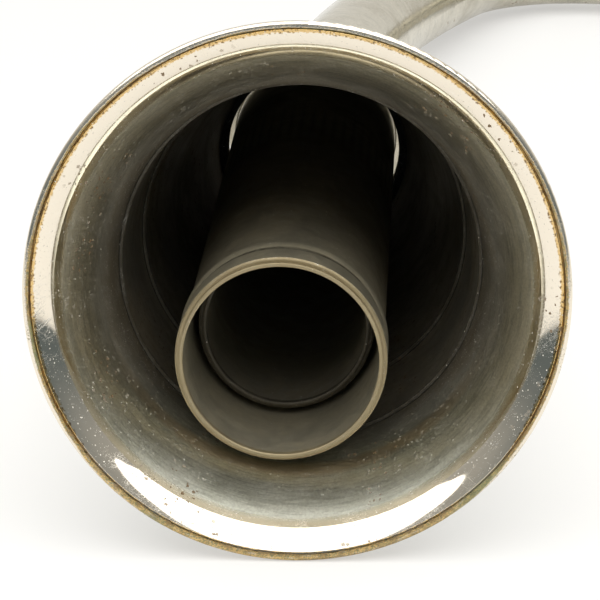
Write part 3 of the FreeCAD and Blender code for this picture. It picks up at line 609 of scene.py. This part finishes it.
# The nested ear draw gets a darker copy of the draw finish: painted shade.
shaded_inner_draw_plate = tube_finish("shaded_inner_draw_plate", EAR_DRAW, SHADED_INNER_METAL, SHADED_INNER_TARNISH, SHADED_INNER_EDGE, 0.40, 0.5)
rim_plate = rim_finish()
leather = leather_finish()
baize = cloth_finish()
bone = bone_finish()
grime = grime_finish()

finishes = {
    "rim_moulding": rim_plate,
    "mouth_band": outer_plate,
    "bell_flare": lip_plate,
    "throat_moulding": outer_plate,
    "neck_sleeve": throat_plate,
    "neck_moulding": outer_plate,
    "bell_cone": cone_plate,
    "bell_collar": gland_plate,
    "collar_cap": outer_plate,
    "collar_packing": leather,
    "middle_tube": draw_plate,
    "middle_stop_ring": draw_plate,
    "middle_collar": outer_plate,
    "middle_lining": baize,
    "ear_draw_tube": shaded_inner_draw_plate,
    "ear_stop_ring": shaded_inner_draw_plate,
    "swivel_socket": outer_plate,
    "swivel_sleeve": outer_plate,
    "ear_bend": bend_plate,
    "tip_ferrule": outer_plate,
    "ear_tip": bone,
}
for name, node in frame["nodes"].items():
    node.data.materials.clear()
    node.data.materials.append(finishes[name])


# The ring of old polish in the crevice of the rim, which is too fine for the solids

# Its section as (radius, depth) in millimetres
CREVICE_SECTION = ((38.63, 0.50), (38.72, 0.42), (38.88, 0.40), (38.98, 0.46), (38.98, 0.74), (38.66, 0.74))
CREVICE_STEPS = 720

# Waves in its depth that make its edge ragged, as (how many go round, height in millimetres, shift)
CREVICE_WAVES = ((7, 0.035, 0.4), (19, 0.035, 2.1), (53, 0.03, 4.0), (131, 0.025, 1.3), (211, 0.02, 5.2))


def crumble(corner):
    """Moves a point of the grime along the bell's line so that its edge is ragged, the same way each run."""
    turn = math.atan2(corner.co.y, corner.co.x)
    corner.co.z += sum(size * math.sin(count * turn + shift) for count, size, shift in CREVICE_WAVES) * MM


def make_crevice_grime():
    """Spins the section a full turn about the bell's line."""
    mesh = bmesh.new()
    corners = [mesh.verts.new((radius * MM, 0, depth * MM)) for radius, depth in CREVICE_SECTION]
    edges = [mesh.edges.new((corners[i], corners[(i + 1) % len(corners)])) for i in range(len(corners))]
    bmesh.ops.spin(mesh, geom=corners + edges, cent=(0, 0, 0), axis=(0, 0, 1), dvec=(0, 0, 0),
                   angle=math.tau, steps=CREVICE_STEPS, use_merge=True, use_normal_flip=False)
    bmesh.ops.remove_doubles(mesh, verts=mesh.verts, dist=1e-6)
    for corner in mesh.verts:
        crumble(corner)
    place, turn = BELL
    onto_bell = Matrix.Translation(place) @ turn.to_matrix().to_4x4()
    bmesh.ops.transform(mesh, matrix=onto_bell, verts=mesh.verts)
    bmesh.ops.recalc_face_normals(mesh, faces=mesh.faces)
    for face in mesh.faces:
        face.smooth = True
    data = bpy.data.meshes.new("crevice_grime")
    mesh.to_mesh(data)
    mesh.free()
    piece = bpy.data.objects.new("crevice_grime", data)
    bpy.context.scene.collection.objects.link(piece)
    data.materials.append(grime)
    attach(piece, "bell")


make_crevice_grime()


# The floor, the light and the camera

TABLE_HALF = 1.4
TABLE_WHITE = (0.90, 0.895, 0.88, 1)
TABLE_GLOW = (1.0, 0.995, 0.985, 1)
TABLE_GLOW_SHARE = 0.45

ROOM_LOW = (0.13, 0.155, 0.165, 1)
ROOM_HIGH = (0.40, 0.40, 0.385, 1)
ROOM_BEHIND = (0.80, 0.78, 0.74, 1)
ROOM_BELOW = (0.90, 0.89, 0.86, 1)
WHITE = (1, 1, 1, 1)

LAMP_PLACE = Vector((0.01, -0.52, 0.84))
LAMP_AIM = Vector((0.01, -0.52, 0.0))
LAMP_WIDTH = 1.95
LAMP_DEPTH = 1.40
LAMP_WATTS = 13.5
LAMP_COLOUR = (1.0, 0.99, 0.975)

CAMERA_PLACE = (-0.022529, -0.626107, 0.213716)
CAMERA_DOWN = 20.2243
CAMERA_LEFT = 1.2899
CAMERA_LENS = 208.87
CAMERA_SENSOR = 36.0


def make_floor():
    """A plain white table that the camera and the metal see as white, and that keeps the shadow."""
    mesh = bmesh.new()
    bmesh.ops.create_grid(mesh, x_segments=1, y_segments=1, size=TABLE_HALF)
    data = bpy.data.meshes.new("table_top")
    mesh.to_mesh(data)
    mesh.free()
    table = bpy.data.objects.new("table_top", data)
    bpy.context.scene.collection.objects.link(table)
    material = bpy.data.materials.new("white_paper")
    material.use_nodes = True
    material.node_tree.nodes.clear()
    bench = Bench(material.node_tree)
    paper = bench.lay("ShaderNodeBsdfDiffuse", {"Color": TABLE_WHITE}).outputs[0]
    glow = bench.lay("ShaderNodeEmission", {"Color": TABLE_GLOW, "Strength": 1.0}).outputs[0]
    path = bench.lay("ShaderNodeLightPath").outputs
    seen = bench.times(path["Is Camera Ray"], TABLE_GLOW_SHARE)
    mirrored = bench.times(path["Is Glossy Ray"], TABLE_GLOW_SHARE)
    mixed = bench.lay("ShaderNodeMixShader", {0: bench.most(seen, mirrored), 1: paper, 2: glow}).outputs[0]
    bench.lay("ShaderNodeOutputMaterial", {"Surface": mixed})
    data.materials.append(material)


def make_world():
    """White behind the object. Round it, a dim room in front that grows lighter upwards, and pale walls behind."""
    world = bpy.data.worlds.new("room")
    bpy.context.scene.world = world
    world.use_nodes = True
    world.node_tree.nodes.clear()
    bench = Bench(world.node_tree)
    sky = bench.lay("ShaderNodeTexCoord").outputs["Generated"]
    parts = bench.lay("ShaderNodeSeparateXYZ", {0: sky}).outputs
    room = bench.colours(bench.fade(parts[2], 0.05, 0.62), ROOM_LOW, ROOM_HIGH)
    room = bench.colours(bench.fade(parts[1], -0.10, 0.45), room, ROOM_BEHIND)
    room = bench.colours(bench.fall(parts[2], -0.03, 0.0), room, ROOM_BELOW)
    room_light = bench.lay("ShaderNodeBackground", {"Color": room, "Strength": 1.0}).outputs[0]
    white = bench.lay("ShaderNodeBackground", {"Color": WHITE, "Strength": 1.0}).outputs[0]
    seen = bench.lay("ShaderNodeLightPath").outputs["Is Camera Ray"]
    mixed = bench.lay("ShaderNodeMixShader", {0: seen, 1: room_light, 2: white}).outputs[0]
    bench.lay("ShaderNodeOutputWorld", {"Surface": mixed})


def make_lamp():
    """A wide, soft box hung over the table in front of the mouth."""
    data = bpy.data.lights.new("overhead_box", "AREA")
    data.shape = "ELLIPSE"
    data.size = LAMP_WIDTH
    data.size_y = LAMP_DEPTH
    data.energy = LAMP_WATTS
    data.color = LAMP_COLOUR
    lamp = bpy.data.objects.new("overhead_box", data)
    lamp.location = LAMP_PLACE
    lamp.rotation_euler = (LAMP_AIM - LAMP_PLACE).to_track_quat("-Z", "Y").to_euler()
    bpy.context.scene.collection.objects.link(lamp)


def make_camera():
    """Looks into the mouth of the bell from a little above, as the photograph does."""
    data = bpy.data.cameras.new("camera")
    data.sensor_width = CAMERA_SENSOR
    data.lens = CAMERA_LENS
    data.clip_start = 0.02
    data.clip_end = 20
    camera = bpy.data.objects.new("camera", data)
    camera.location = CAMERA_PLACE
    camera.rotation_euler = (math.radians(90 - CAMERA_DOWN), 0, math.radians(CAMERA_LEFT))
    bpy.context.scene.collection.objects.link(camera)
    bpy.context.scene.camera = camera


make_floor()
make_world()
make_lamp()
make_camera()
bpy.context.scene.view_settings.view_transform = "Standard"
